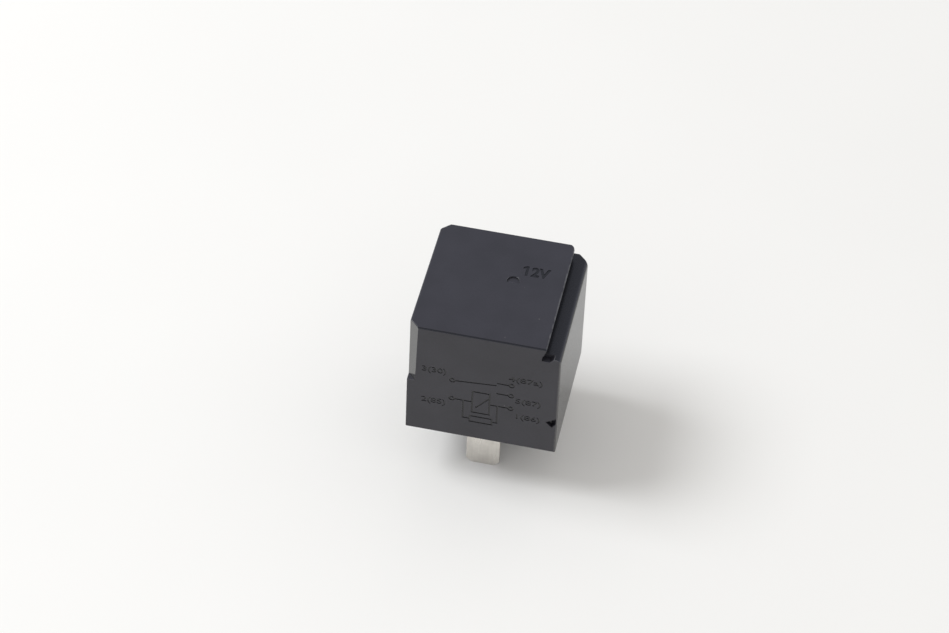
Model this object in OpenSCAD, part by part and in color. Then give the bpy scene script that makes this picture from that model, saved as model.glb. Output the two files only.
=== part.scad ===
// Plug-in automotive changeover relay with five flat blades and a bracket rail on its case.
// Millimetres. +Z points up, away from the blades, and the front face looks along -Y.
// The origin is below the middle of the case, level with the blade tips.

/* [Case] */
// Width of the case at its lower rim
case_w = 28; // [27:0.5:34]
// Depth of the case at its lower rim
case_d = 28; // [27.5:0.5:34]
// Height of the case from rim to top
case_h = 26; // [25:0.5:32]
// Thickness of the side walls
wall_t = 1; // [0.8:0.1:1.2]
// Thickness of the top
top_t = 1.2; // [0.8:0.1:1.6]
// Draft of the walls in degrees
draft = 0.3; // [0.1:0.1:0.6]
// Rounding of the top edges
edge_r = 0.35; // [0.2:0.05:0.6]
// Rounding of the outer edge of the rim
rim_r = 0.25; // [0.1:0.05:0.4]
// Rounding of the square front corner
corner_r = 0.5; // [0.2:0.1:0.9]
// Chamfer of the other three corners, along a wall at the top
chamfer = 1.8; // [1.2:0.1:2.4]
// Lean of the two left chamfers in degrees
chamfer_lean = 1.3; // [0.5:0.1:2]
// Height above the rim at which the two left chamfers end
chamfer_stop = 12.5; // [11:0.5:18]

/* [Bracket rail] */
// Width of the rail channel, from the right wall to the top plate
rail_w = 2.7; // [2.2:0.1:3.2]
// Depth of the rail channel
rail_depth = 2.2; // [1.8:0.1:2.6]
// Undercut of the channel wall that the bracket hooks behind
rail_undercut = 0.7; // [0.3:0.1:1]
// Rounding of the outer edge of the channel floor
rail_edge_r = 0.9; // [0.3:0.1:1.2]
// Rounding of the back corner of the top plate
plate_r = 1.6; // [1:0.1:2]
// Depth of the catch notch below the channel
notch_depth = 0.8; // [0.4:0.1:1.1]
// Width of the catch notch at its bottom
notch_w = 1.3; // [0.9:0.1:1.6]
// Length of the catch notch from the front face
notch_l = 1.4; // [0.8:0.1:2]

/* [Latch] */
// Distance of the latch windows from the side wall
latch_inset = 1.1; // [1:0.1:1.3]
// Height of the latch windows above the rim
latch_z = 7.65; // [6:0.1:9]
// Size of the latch windows from side to side
latch_size = 2.1; // [1.6:0.1:2.3]
// Clearance between base and case
fit_gap = 0.1; // [0.05:0.05:0.2]

/* [Blades] */
// Width of a blade
blade_w = 6.3; // [4.8:0.1:6.5]
// Thickness of the blade sheet
blade_t = 0.8; // [0.6:0.1:1]
// Length of a blade below the rim
blade_l = 11; // [9:0.5:13]
// Distance of the front blade from the middle of the case
front_blade = 9.8; // [9.5:0.1:10]
// Spacing of the front and middle blades
pitch_front = 8; // [7.8:0.1:8.4]
// Spacing of the middle and back blades
pitch_back = 8.9; // [8.8:0.1:9.2]
// Spacing of the two coil blades
pitch_coil = 16.9; // [16.7:0.1:18]
// Distance of the coil blades behind the middle blade
coil_offset = 2.7; // [2:0.1:3.2]
// Inner radius of the bends in the blade sheet
bend_r = 0.3; // [0.2:0.05:0.4]
// Running space round a blade in its slot
slot_gap = 0.05; // [0.02:0.01:0.1]

/* [Base] */
// Thickness of the base plate
base_t = 3; // [2.6:0.1:3.4]
// Recess of the base above the rim
base_recess = 0.6; // [0.4:0.1:1]
// Depth of the pockets in the underside of the base
pocket_depth = 1.2; // [0.6:0.1:1.4]
// Rib between and around the pockets
pocket_rib = 1.1; // [0.8:0.1:1.4]
// Height of the pads that carry the yoke
pad_h = 0.6; // [0.6:0.1:1]
// Height of the wall that backs the contact strips
screen_h = 6.6; // [5:0.2:9]

/* [Magnet] */
// Width of the yoke
yoke_w = 10; // [8:0.5:11]
// Thickness of the yoke
yoke_t = 1.4; // [1.2:0.1:1.5]
// Diameter of the core
core_d = 6; // [5:0.2:6.4]
// Diameter of the pole shoe
pole_d = 9.5; // [8:0.5:10]
// Thickness of the pole shoe
pole_t = 1; // [0.8:0.1:1.2]
// Diameter of the bobbin flanges
flange_d = 15; // [14.4:0.1:15.2]
// Thickness of the bobbin flanges
flange_t = 0.8; // [0.6:0.1:1]
// Wall of the bobbin tube
tube_t = 0.8; // [0.6:0.1:1]
// Depth of the flange edge outside the winding
flange_lip = 0.4; // [0.3:0.1:0.8]

/* [Armature] */
// Width of the armature
arm_w = 10; // [8:0.5:11]
// Length of the armature from the hinge edge
arm_l = 16.2; // [14:0.2:16.6]
// Thickness of the armature
arm_t = 1.4; // [1.2:0.1:1.5]
// Lift of the armature at rest in degrees
rest_lift = 2.6; // [2.4:0.1:2.8]
// Lift that is left when the work contact closes, in degrees
work_lift = 0.4; // [0.3:0.1:0.6]
// Space between armature and yoke at the hinge edge
hinge_gap = 0.05; // [0.03:0.01:0.1]
// Thickness of the contact leaf
leaf_t = 0.25; // [0.2:0.05:0.3]
// Width of the contact leaf over the armature
leaf_w = 7; // [6:0.2:8]
// Width of the contact leaf at its free end
leaf_tip_w = 3.6; // [3.2:0.1:4]
// Inner radius of the leaf where it bends over the hinge edge
leaf_r = 1; // [0.9:0.05:1.2]
// Space between the leaf and what is fixed to the yoke
leaf_gap = 0.02; // [0.01:0.01:0.05]

/* [Contacts] */
// Distance of the contacts behind the front of the case
contact_front = 3; // [2.9:0.05:3.2]
// Diameter of a contact head
head_d = 2.8; // [2.4:0.1:3]
// Height of a contact head
head_h = 0.6; // [0.5:0.05:0.7]
// Crown of a contact head
head_crown = 0.15; // [0.1:0.01:0.2]
// Diameter of a contact shank
shank_d = 1.6; // [1.2:0.1:1.8]
// Height of a riveted shank end
tail_h = 0.3; // [0.2:0.05:0.4]
// Space that is left between closed contacts
touch_gap = 0.04; // [0.03:0.01:0.06]
// Space between the upper contact and the inside of the top
head_room = 0.4; // [0.3:0.1:0.6]
// Width of a contact strip
strip_w = 3.4; // [2.8:0.1:3.6]
// Distance of the work strip from the middle
work_strip_x = 2.2; // [2:0.1:2.6]
// Distance of the rest strip from the middle
rest_strip_x = 4.2; // [4:0.1:4.4]

/* [Resistor] */
// Diameter of the resistor
resistor_d = 2; // [1.6:0.1:2.1]
// Length of the resistor
resistor_l = 5.6; // [4:0.2:8]
// Diameter of its leads
lead_d = 0.5; // [0.4:0.05:0.6]
// Diameter of the coil wire
wire_d = 0.3; // [0.2:0.05:0.4]

/* [Hidden] */
$fn = 64;

// Cutters reach this far past the faces they cut
over = 1;
// Colours
moulding = "#3b3b40";
tinned = "#cfc8bc";
steel = "#9a9da1";
copper = "#b5652b";
silver_alloy = "#d8d8d4";
bronze = "#c49a58";

// Case, with heights measured from its rim
rim_z = blade_l;
plate_x = wall_at(case_w, case_h) - rail_w;
rail_floor = case_h - rail_depth;
inner_w = case_w - 2 * wall_t;
inner_d = case_d - 2 * wall_t;
inner_top = case_h - top_t;
shelf_z = rail_floor - notch_depth - wall_t;
shelf_x = plate_x - rail_undercut - wall_t;
corner_lean = atan(sqrt(2) * tan(draft));
gate_pos = [1.9, 1.8];
gate_r = 1.15;
gate_depth = 0.3;

// Base
base_w = inner_w - 2 * fit_gap;
base_d = inner_d - 2 * fit_gap;
base_z0 = rim_z + base_recess;
base_z1 = base_z0 + base_t;
base_chamfer = chamfer + sqrt(2) * (wall_t + fit_gap) - 2 * (wall_t + fit_gap);
collar_h = base_recess / 2;
collar_wall = 0.9;
groove_depth = blade_t + 0.2;
groove_z = base_z1 - groove_depth;
post_w = 2.5;
post_d = 1.6;
post_z1 = rim_z + latch_z + latch_size;
screen_t = 1;

// Blade pattern
tip_chamfer = 1;
tip_l = 1.3;
tip_t = 0.35;
tip_bevel = 1;
ear_w = 0.5;
ear_h = pad_h - 0.1;
y_87 = -front_blade;
y_87a = y_87 + pitch_front;
y_30 = y_87a + pitch_back;
y_coil = y_87a + coil_offset;
x_coil = pitch_coil / 2;
flag_w = yoke_w / 2;
flag_h = 5.1;
tail_w = 2.2;
tail_l = 4.8;
fork_depth = 1.6;

// Magnet, carried by the flag of the back blade
hinge_y = y_30 + blade_w / 2 - blade_t;
core_gap = 0.25;
core_y = hinge_y - yoke_t - core_gap - flange_d / 2;
yoke_z0 = base_z1 + pad_h;
yoke_z1 = yoke_z0 + yoke_t;
yoke_bend_r = 0.5;
yoke_front = core_y - 5;
bore_d = core_d + 0.2;
tube_d = bore_d + 2 * tube_t;
winding_d = flange_d - 2 * flange_lip;
spigot_d = core_d - 2;

// Contacts, hung from the inside of the top, and the hinge height that they give
contact_y = contact_front - case_d / 2;
pad_w = head_d + 0.2;
rest_face = rim_z + inner_top - head_room - tail_h - blade_t - head_h;
reach = contact_y - hinge_y;
arm_top = hinge_gap + arm_t;
leaf_top = arm_top + leaf_t;
upper_head = turned([reach, leaf_top + head_h], -rest_lift);
lower_head = turned([reach, arm_top - head_h], -work_lift);
hinge_z = rest_face - touch_gap - upper_head[1];
work_face = hinge_z + lower_head[1] - touch_gap;
rest_y = hinge_y + upper_head[0];
pole_z = hinge_z - pole_t;

// Contact leaf, in the hinge edge's own plane
leaf_center = [leaf_gap - leaf_r,
               (arm_top - leaf_r - (leaf_gap - leaf_r) * sin(rest_lift)) / cos(rest_lift)];
leaf_foot = [hinge_y + leaf_center[0], hinge_z + leaf_center[1]];
leaf_start = turned(leaf_center, rest_lift)[0];
leaf_low = base_z1 + flag_h + 0.7;
leaf_window_w = 3;
leaf_window_y = 3;
leaf_window_drop = 4;
rivet_d = 1.5;
rivet_head_d = 2.6;
rivet_head_h = 0.5;
rivet_rise = 1.6;
rivet_pitch = 3;
arm_rivet_x = 2.3;
arm_rivet_y = 9;

// Resistor, behind the yoke and beside its flag
lead_gap = 0.05;
resistor_x = -blade_t / 2 - 0.3 - resistor_l / 2;
resistor_y = hinge_y + blade_t + lead_gap + lead_d / 2;
resistor_z = base_z1 + 1.8;
lead_bend = 1;
lead_x = x_coil + blade_t / 2 + lead_d / 2;

// Half of a drafted size at height z above the rim
function wall_at(size, z) = size / 2 - z * tan(draft);

// Points of an arc
function arc(c, r, a0, a1, n = 5) =
    [for (i = [0:n]) let (a = a0 + (a1 - a0) * i / n) c + r * [cos(a), sin(a)]];

// A point of the YZ plane turned about the hinge edge
function turned(p, a) = [p[0] * cos(a) - p[1] * sin(a), p[0] * sin(a) + p[1] * cos(a)];

// ---- helpers ----

// An outline in X and Z, given a thickness along Y
module upright(t) {
    rotate([90, 0, 0]) linear_extrude(t, center = true) children();
}

// An outline in Y and Z, given a width from x0 to x1
module sideways(x0, x1) {
    translate([x0, 0, 0]) rotate([90, 0, 90]) linear_extrude(x1 - x0) children();
}

// A box from its low corner to its high corner
module box(a, b) {
    translate(a) cube(b - a);
}

// Quarter of a flat ring, in the first quadrant
module quarter_ring(r0, r1) {
    intersection() {
        difference() {
            circle(r1);
            circle(r0);
        }
        square(r1 + over);
    }
}

// ---- case ----

module drafted_profile(size, h, r) {
    x = wall_at(size, h);
    foot = wall_at(size, rim_r) - rim_r;
    polygon(concat(arc([-foot, rim_r], rim_r, 180, 270, 4),
                   arc([foot, rim_r], rim_r, 270, 360, 4),
                   arc([x - r, h - r], r, 0, 90),
                   arc([r - x, h - r], r, 90, 180)));
}

module case_block() {
    intersection() {
        upright(case_d + 2 * over) drafted_profile(case_w, case_h, edge_r);
        sideways(-case_w, case_w) drafted_profile(case_d, case_h, edge_r);
    }
}

// Everything outside the chamfer of one corner, above height low
module corner_cut(sx, sy, lean, low, inset = 0) {
    translate([sx * (wall_at(case_w, case_h) - chamfer / 2),
               sy * (wall_at(case_d, case_h) - chamfer / 2), case_h])
        rotate([0, 0, atan2(sy, sx)])
            rotate([0, -lean, 0])
                box([-inset, -2 * chamfer - wall_t, low - case_h],
                    [3 * chamfer, 2 * chamfer + wall_t, over]);
}

module corner_cuts(inset, drop) {
    for (sy = [-1, 1]) corner_cut(-1, sy, chamfer_lean, chamfer_stop - drop, inset);
    corner_cut(1, 1, corner_lean, -2 * over, inset);
}

// Rounds the square front corner, following its draft
module front_corner_round() {
    bite = 0.01;
    translate([case_w / 2 - corner_r + bite, corner_r - case_d / 2 - bite, 0])
        rotate([0, 0, -45])
            rotate([0, -corner_lean, 0])
                rotate([0, 0, 45])
                    translate([0, 0, -over])
                        linear_extrude(case_h + 2 * over)
                            difference() {
                                translate([0, -2 * corner_r]) square(2 * corner_r);
                                circle(corner_r);
                            }
}

module rail_channel() {
    foot = plate_x - rail_undercut;
    edge_z = rail_floor - rail_edge_r;
    upright(case_d + 2 * over)
        polygon(concat([[plate_x - edge_r, case_h + over]],
                       arc([plate_x - edge_r, case_h - edge_r], edge_r, 90, 0),
                       [[foot, rail_floor]],
                       arc([wall_at(case_w, edge_z) - rail_edge_r, edge_z], rail_edge_r, 90, 0),
                       [[case_w, edge_z], [case_w, case_h + over]]));
    // catch notch at the front end
    rise = 0.3;
    translate([0, notch_l / 2 - case_d / 2, 0])
        upright(notch_l)
            polygon([[foot, rail_floor + rise], [foot - 0.1, rail_floor - notch_depth],
                     [foot + notch_w, rail_floor - notch_depth],
                     [foot + notch_w + notch_depth + rise, rail_floor + rise]]);
}

// Round corner at the back end of the top plate
module plate_corner_round() {
    translate([plate_x - plate_r, wall_at(case_d, case_h) - plate_r, rail_floor])
        linear_extrude(rail_depth + over)
            difference() {
                square(plate_r + over);
                circle(plate_r);
            }
}

module cavity() {
    difference() {
        intersection() {
            upright(case_d)
                polygon([[-wall_at(inner_w, -over), -over], [wall_at(inner_w, -over), -over],
                         [wall_at(inner_w, shelf_z), shelf_z], [shelf_x, shelf_z],
                         [shelf_x, inner_top], [-wall_at(inner_w, inner_top), inner_top]]);
            sideways(-case_w / 2, case_w / 2)
                polygon([[-wall_at(inner_d, -over), -over], [wall_at(inner_d, -over), -over],
                         [wall_at(inner_d, inner_top), inner_top],
                         [-wall_at(inner_d, inner_top), inner_top]]);
        }
        corner_cuts(wall_t, wall_t);
    }
}

// Outline of a latch window about its middle
module latch_outline() {
    s = latch_size / 2;
    polygon([[-s, 0], [0.8 * s, 1.15 * s], [0.8 * s, -0.2 * s], [0.1 * s, -1.15 * s]]);
}

// Places a latch window or barb at the front right and back left corners
module at_latches() {
    for (a = [0, 180]) rotate([0, 0, a])
        translate([case_w / 2 - latch_inset, 0, latch_z]) children();
}

module latch_windows() {
    depth = wall_t + fit_gap + over;
    at_latches()
        translate([0, depth / 2 - over - case_d / 2, 0]) upright(depth) latch_outline();
}

module gate_mark() {
    translate([gate_pos[0], gate_pos[1], case_h - gate_depth])
        intersection() {
            cylinder(r = gate_r, h = over);
            box([-2 * gate_r, -0.3 * gate_r, 0], [2 * gate_r, 2 * gate_r, over]);
        }
}

module cover() {
    color(moulding) translate([0, 0, rim_z])
        difference() {
            case_block();
            cavity();
            corner_cuts(0, 0);
            front_corner_round();
            rail_channel();
            plate_corner_round();
            latch_windows();
            gate_mark();
        }
}

// ---- base ----

module base_outline() {
    w = base_w / 2;
    d = base_d / 2;
    polygon([[-w, -d], [w, -d], [w, d - base_chamfer], [w - base_chamfer, d], [-w, d]]);
}

// Section of a blade with room round it, lying along X
module slot_section(room) {
    square([blade_w + 2 * room, blade_t + 2 * room], center = true);
}

// Repeats something at the five blades, turned as each blade is
module at_blades() {
    for (y = [y_87, y_87a]) translate([0, y, 0]) children();
    for (p = [[-x_coil, y_coil], [x_coil, y_coil], [0, y_30]])
        translate([p[0], p[1], 0]) rotate([0, 0, 90]) children();
}

module strip_groove() {
    room = 2 * slot_gap;
    half = blade_w / 2 + room;
    x0 = rest_strip_x - room;
    x1 = rest_strip_x + strip_w + room;
    y0 = y_87 - blade_t / 2 - room;
    y1 = y_87a - strip_w - room;
    top = base_z1 + 0.25;
    box([-half, y1, groove_z], [half, y_87a + blade_t / 2 + room, top]);
    box([-half, y1, groove_z], [x1, y1 + strip_w, top]);
    box([x0, y0, groove_z], [x1, y1 + over, top]);
    // room for the inside of the bend
    box([-half, y_87a - blade_t / 2 - bend_r - room, groove_z - bend_r - room],
        [half, y_87a, base_z1]);
}

module latch_posts() {
    x1 = base_w / 2;
    y0 = -base_d / 2;
    for (a = [0, 180]) rotate([0, 0, a])
        box([x1 - post_w, y0, base_z0], [x1, y0 + post_d, post_z1]);
    // barbs that stand in the windows
    reach_out = fit_gap + 0.3 * wall_t;
    intersection() {
        translate([0, 0, rim_z]) at_latches()
            translate([0, y0 - reach_out / 2 + over / 2, 0])
                upright(reach_out + over) scale(0.8) latch_outline();
        box([-x1, -case_d, 0], [x1, case_d, post_z1]);
    }
}

// One pocket from its low corner to its high corner, with round corners
module pocket(a, b) {
    r = 0.4;
    translate([0, 0, base_z0 - over]) linear_extrude(pocket_depth + over) {
        translate([a[0] + r, a[1]]) square([b[0] - a[0] - 2 * r, b[1] - a[1]]);
        translate([a[0], a[1] + r]) square([b[0] - a[0], b[1] - a[1] - 2 * r]);
        for (x = [a[0] + r, b[0] - r], y = [a[1] + r, b[1] - r]) translate([x, y]) circle(r);
    }
}

// Pockets that keep the plate of one thickness, on each side of the blades
module base_pockets() {
    edge = base_w / 2 - pocket_rib - post_w / 2;
    front = post_d + pocket_rib - base_d / 2;
    side = blade_w / 2 + collar_wall + pocket_rib;
    coil_front = y_coil - side;
    coil_back = y_coil + side;
    back = base_d / 2 - post_d - pocket_rib;
    middle = (front + coil_front) / 2;
    for (s = [0, 1]) mirror([s, 0, 0]) {
        pocket([side, front], [edge, middle - pocket_rib / 2]);
        pocket([side, middle + pocket_rib / 2], [edge, coil_front]);
        pocket([blade_t / 2 + collar_wall + pocket_rib, coil_back], [edge, back]);
    }
}

module base() {
    strip_x1 = rest_strip_x + strip_w + 0.6;
    color(moulding) difference() {
        union() {
            translate([0, 0, base_z0]) linear_extrude(base_t) base_outline();
            // collars round the blades
            at_blades() translate([0, 0, base_z0 - collar_h])
                linear_extrude(collar_h + base_t / 2) slot_section(collar_wall);
            // pads under the yoke
            for (s = [-1, 1]) translate([s * yoke_w * 0.3, 0, 0])
                box([-yoke_w * 0.13, y_87a + 1, base_z1 - over],
                    [yoke_w * 0.13, hinge_y - yoke_bend_r - yoke_t, yoke_z0]);
            // wall behind the contact strips
            box([-work_strip_x - strip_w - 0.6, y_87 + blade_t / 2, base_z1 - over],
                [strip_x1, y_87 + blade_t / 2 + screen_t, base_z1 + screen_h]);
            latch_posts();
        }
        at_blades() translate([0, 0, base_z0 - 2 * over])
            linear_extrude(base_t + 3 * over) slot_section(slot_gap);
        strip_groove();
        base_pockets();
    }
}

// ---- terminals ----

// A blade with bevelled tip, its width along X, up to height top
module blade(top) {
    w = blade_w / 2;
    t = blade_t / 2;
    intersection() {
        upright(blade_t)
            polygon([[tip_chamfer - w, 0], [w - tip_chamfer, 0], [w, tip_l],
                     [w, top], [-w, top], [-w, tip_l]]);
        sideways(-w, w)
            polygon([[-tip_t / 2, 0], [tip_t / 2, 0], [t, tip_bevel],
                     [t, top], [-t, top], [-t, tip_bevel]]);
    }
}

// Forward bend at the head of a strip and the arm that carries a fixed contact
module contact_arm(x0, x1, top, hole_y) {
    front = contact_y - pad_w / 2;
    root = y_87 - blade_t / 2 - bend_r;
    low = top - blade_t;
    sideways(x0, x1) {
        translate([root, low - bend_r]) quarter_ring(bend_r, bend_r + blade_t);
        translate([front, low]) square([root - front, blade_t]);
    }
    difference() {
        union() {
            box([min(x0, -pad_w / 2), front, low], [max(x1, pad_w / 2), root, top]);
            box([-pad_w / 2, front, low], [pad_w / 2, front + pad_w, top]);
        }
        translate([0, hole_y, low - over]) cylinder(d = shank_d, h = blade_t + 2 * over);
    }
}

module terminal_87() {
    x1 = -work_strip_x;
    x0 = x1 - strip_w;
    w = blade_w / 2;
    top = work_face - head_h;
    color(tinned) union() {
        translate([0, y_87, 0]) {
            blade(base_z1);
            upright(blade_t)
                polygon([[-w, base_z1 - over], [w, base_z1 - over], [w, base_z1], [w + ear_w, base_z1],
                         [w + ear_w, base_z1 + ear_h], [w, base_z1 + 1.6], [x1, base_z1 + 3],
                         [x1, top - blade_t - bend_r], [x0, top - blade_t - bend_r],
                         [x0, base_z1], [-w, base_z1]]);
        }
        contact_arm(x0, x1, top, contact_y);
    }
}

module terminal_87a() {
    x0 = rest_strip_x;
    x1 = x0 + strip_w;
    w = blade_w / 2;
    top = rest_face + head_h + blade_t;
    bend_y = y_87a - blade_t / 2 - bend_r;
    knee_y = y_87 + blade_t / 2 + bend_r;
    knee_z = groove_z + blade_t + bend_r;
    across_y = y_87a - strip_w;
    color(tinned) union() {
        translate([0, y_87a, 0]) blade(groove_z - bend_r);
        // bend into the groove
        sideways(-w, w)
            translate([bend_y, groove_z - bend_r]) quarter_ring(bend_r, bend_r + blade_t);
        // strip that lies in the groove
        translate([0, 0, groove_z]) linear_extrude(blade_t)
            polygon([[-w, bend_y], [-w, across_y], [x0, across_y], [x0, knee_y],
                     [x1, knee_y], [x1, across_y + strip_w - 1], [w, across_y + strip_w - 1], [w, bend_y]]);
        // knee up into the contact strip
        sideways(x0, x1)
            translate([knee_y, knee_z]) rotate(180) quarter_ring(bend_r, bend_r + blade_t);
        box([x0, y_87 - blade_t / 2, knee_z], [x1, y_87 + blade_t / 2, top - blade_t - bend_r]);
        contact_arm(x0, x1, top, rest_y);
    }
}

// Coil blade with an ear on each side and a forked tail
module coil_blade() {
    w = blade_w / 2;
    t = tail_w / 2;
    f = wire_d / 2;
    tail_z1 = base_z1 + tail_l;
    rotate([0, 0, 90]) union() {
        blade(base_z1);
        upright(blade_t)
            polygon([[-w, base_z1 - over], [w, base_z1 - over], [w, base_z1], [w + ear_w, base_z1],
                     [w + ear_w, base_z1 + ear_h], [t, base_z1 + ear_h], [t, tail_z1], [f, tail_z1],
                     [f, tail_z1 - fork_depth], [-f, tail_z1 - fork_depth], [-f, tail_z1],
                     [-t, tail_z1], [-t, base_z1 + ear_h], [-w - ear_w, base_z1 + ear_h],
                     [-w - ear_w, base_z1], [-w, base_z1]]);
    }
}

module terminal_85() {
    color(tinned) translate([x_coil, y_coil, 0]) coil_blade();
}

module terminal_86() {
    color(tinned) translate([-x_coil, y_coil, 0]) coil_blade();
}

module terminal_30() {
    w = blade_w / 2;
    t = blade_t / 2;
    color(tinned) union() {
        translate([0, y_30, 0]) rotate([0, 0, 90]) {
            blade(base_z1);
            upright(blade_t)
                polygon([[-w, base_z1 - over], [w, base_z1 - over], [w, base_z1 + ear_h],
                         [-w - ear_w, base_z1 + ear_h], [-w - ear_w, base_z1], [-w, base_z1]]);
        }
        // flag that is welded to the back of the yoke
        translate([t, hinge_y, base_z1]) linear_extrude(flag_h) rotate(90) quarter_ring(0, blade_t);
        box([t, hinge_y, base_z1], [flag_w, hinge_y + blade_t, base_z1 + flag_h]);
    }
}

// ---- magnet ----

module yoke() {
    r = yoke_bend_r + yoke_t;
    color(steel) difference() {
        union() {
            sideways(-yoke_w / 2, yoke_w / 2) {
                translate([yoke_front, yoke_z0]) square([hinge_y - r - yoke_front, yoke_t]);
                translate([hinge_y - r, yoke_z0 + r]) rotate(-90) quarter_ring(yoke_bend_r, r);
                translate([hinge_y - yoke_t, yoke_z0 + r]) square([yoke_t, hinge_z - yoke_z0 - r]);
            }
        }
        translate([0, core_y, yoke_z0 - over]) cylinder(d = spigot_d, h = yoke_t + 2 * over);
        at_yoke_rivets() translate([0, 0, -yoke_t - over]) cylinder(d = rivet_d, h = yoke_t + 2 * over);
    }
}

module core() {
    edge = 0.2;
    color(steel) translate([0, core_y, 0]) rotate_extrude()
        polygon([[0, yoke_z0], [spigot_d / 2, yoke_z0], [spigot_d / 2, yoke_z1], [core_d / 2, yoke_z1],
                 [core_d / 2, pole_z], [pole_d / 2, pole_z], [pole_d / 2, hinge_z - edge],
                 [pole_d / 2 - edge, hinge_z], [0, hinge_z]]);
}

module bobbin() {
    bevel = yoke_bend_r - core_gap + 0.1;
    color("#e7e2d2") translate([0, core_y, 0]) rotate_extrude()
        polygon([[bore_d / 2, yoke_z1], [flange_d / 2 - bevel, yoke_z1],
                 [flange_d / 2, yoke_z1 + bevel], [flange_d / 2, yoke_z1 + flange_t],
                 [tube_d / 2, yoke_z1 + flange_t], [tube_d / 2, pole_z - flange_t],
                 [flange_d / 2, pole_z - flange_t], [flange_d / 2, pole_z], [bore_d / 2, pole_z]]);
}

module coil_winding() {
    z0 = yoke_z1 + flange_t;
    z1 = pole_z - flange_t;
    crown = 0.2;
    tail_z1 = base_z1 + tail_l;
    lead_z = tail_z1 - fork_depth + wire_d / 2;
    color(copper) union() {
        translate([0, core_y, 0]) rotate_extrude()
            polygon([[tube_d / 2, z0], [winding_d / 2 - crown, z0], [winding_d / 2, z0 + 2 * crown],
                     [winding_d / 2, z1 - 2 * crown], [winding_d / 2 - crown, z1], [tube_d / 2, z1]]);
        // the two wire ends, laid in the forks of the coil blades
        for (s = [0, 180]) translate([0, y_coil, lead_z]) rotate([0, 0, s])
            translate([winding_d / 2 - over, 0, 0]) rotate([0, 90, 0])
                cylinder(d = wire_d, h = x_coil + blade_t - winding_d / 2 + over, $fn = 24);
    }
}

// ---- resistor ----

module resistor_body() {
    r = resistor_d / 2;
    l = resistor_l / 2;
    waist = 0.85 * r;
    cap = 0.3 * resistor_l;
    color("#6f8f9b") translate([resistor_x, resistor_y, resistor_z]) rotate([0, 90, 0]) rotate_extrude()
        polygon([[0, -l], [0.8 * r, -l], [r, -l + 0.2 * r], [r, -l + cap - 0.4], [waist, -l + cap],
                 [waist, l - cap], [r, l - cap + 0.4], [r, l - 0.2 * r], [0.8 * r, l], [0, l]]);
}

// Lead on the right side, from x0 at the resistor's end round to the coil blade
module resistor_lead(x0) {
    bend_y = resistor_y - lead_bend;
    end_y = y_coil - tail_w / 2 - 0.3;
    translate([0, 0, resistor_z]) union() {
        translate([x0, resistor_y, 0]) rotate([0, 90, 0])
            cylinder(d = lead_d, h = lead_x - lead_bend - x0, $fn = 32);
        translate([lead_x - lead_bend, bend_y, 0]) rotate_extrude(angle = 90)
            translate([lead_bend, 0]) circle(d = lead_d, $fn = 32);
        translate([lead_x, bend_y, 0]) rotate([90, 0, 0])
            cylinder(d = lead_d, h = bend_y - end_y, $fn = 32);
    }
}

module resistor_lead_85() {
    color(tinned) resistor_lead(resistor_x + resistor_l / 2);
}

module resistor_lead_86() {
    color(tinned) mirror([1, 0, 0]) resistor_lead(resistor_l / 2 - resistor_x);
}

// ---- contacts and rivets ----

// Crowned contact head that stands on z = 0
module contact_head() {
    r = head_d / 2;
    big = (r * r + head_crown * head_crown) / (2 * head_crown);
    rotate_extrude() intersection() {
        square([r, head_h]);
        translate([0, head_h - big]) circle(big, $fn = 180);
    }
}

module work_contact() {
    color(silver_alloy) translate([0, contact_y, work_face - head_h]) union() {
        contact_head();
        translate([0, 0, -blade_t]) cylinder(d = shank_d, h = blade_t);
        translate([0, 0, -blade_t - tail_h]) cylinder(d = shank_d + 0.6, h = tail_h);
    }
}

module rest_contact() {
    color(silver_alloy) translate([0, rest_y, rest_face + head_h]) union() {
        mirror([0, 0, 1]) contact_head();
        cylinder(d = shank_d, h = blade_t);
        translate([0, 0, blade_t]) cylinder(d = shank_d + 0.6, h = tail_h);
    }
}

module moving_contact() {
    color(silver_alloy) lifted() translate([0, reach, 0]) union() {
        translate([0, 0, leaf_top]) contact_head();
        translate([0, 0, arm_top]) cylinder(d = shank_d, h = leaf_t);
        translate([0, 0, arm_top]) mirror([0, 0, 1]) contact_head();
    }
}

// Rivet with its head on z = 0 and its shank below
module rivet(l) {
    cylinder(d1 = rivet_head_d, d2 = 0.7 * rivet_head_d, h = rivet_head_h);
    translate([0, 0, -l]) cylinder(d = rivet_d, h = l);
}

// Places along the outward normal of the yoke's back
module at_yoke_rivets() {
    for (i = [0, 1]) translate([0, hinge_y, leaf_low + rivet_rise + i * rivet_pitch])
        rotate([-90, 0, 0]) children();
}

// Places along the upward normal of the armature, in the hinge frame
module at_arm_rivets() {
    for (s = [-1, 1]) translate([s * arm_rivet_x, -arm_rivet_y, arm_top]) children();
}

module yoke_rivets() {
    stack = leaf_t + 2 * leaf_gap;
    color(steel) at_yoke_rivets() translate([0, 0, stack]) rivet(stack + yoke_t);
}

module armature_rivets() {
    color(steel) lifted() at_arm_rivets() translate([0, 0, leaf_t]) rivet(leaf_t + arm_t);
}

// ---- armature ----

// Places what is modelled about the hinge edge, flat on the pole, into its lifted rest position
module lifted() {
    translate([0, hinge_y, hinge_z]) rotate([-rest_lift, 0, 0]) children();
}

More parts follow.
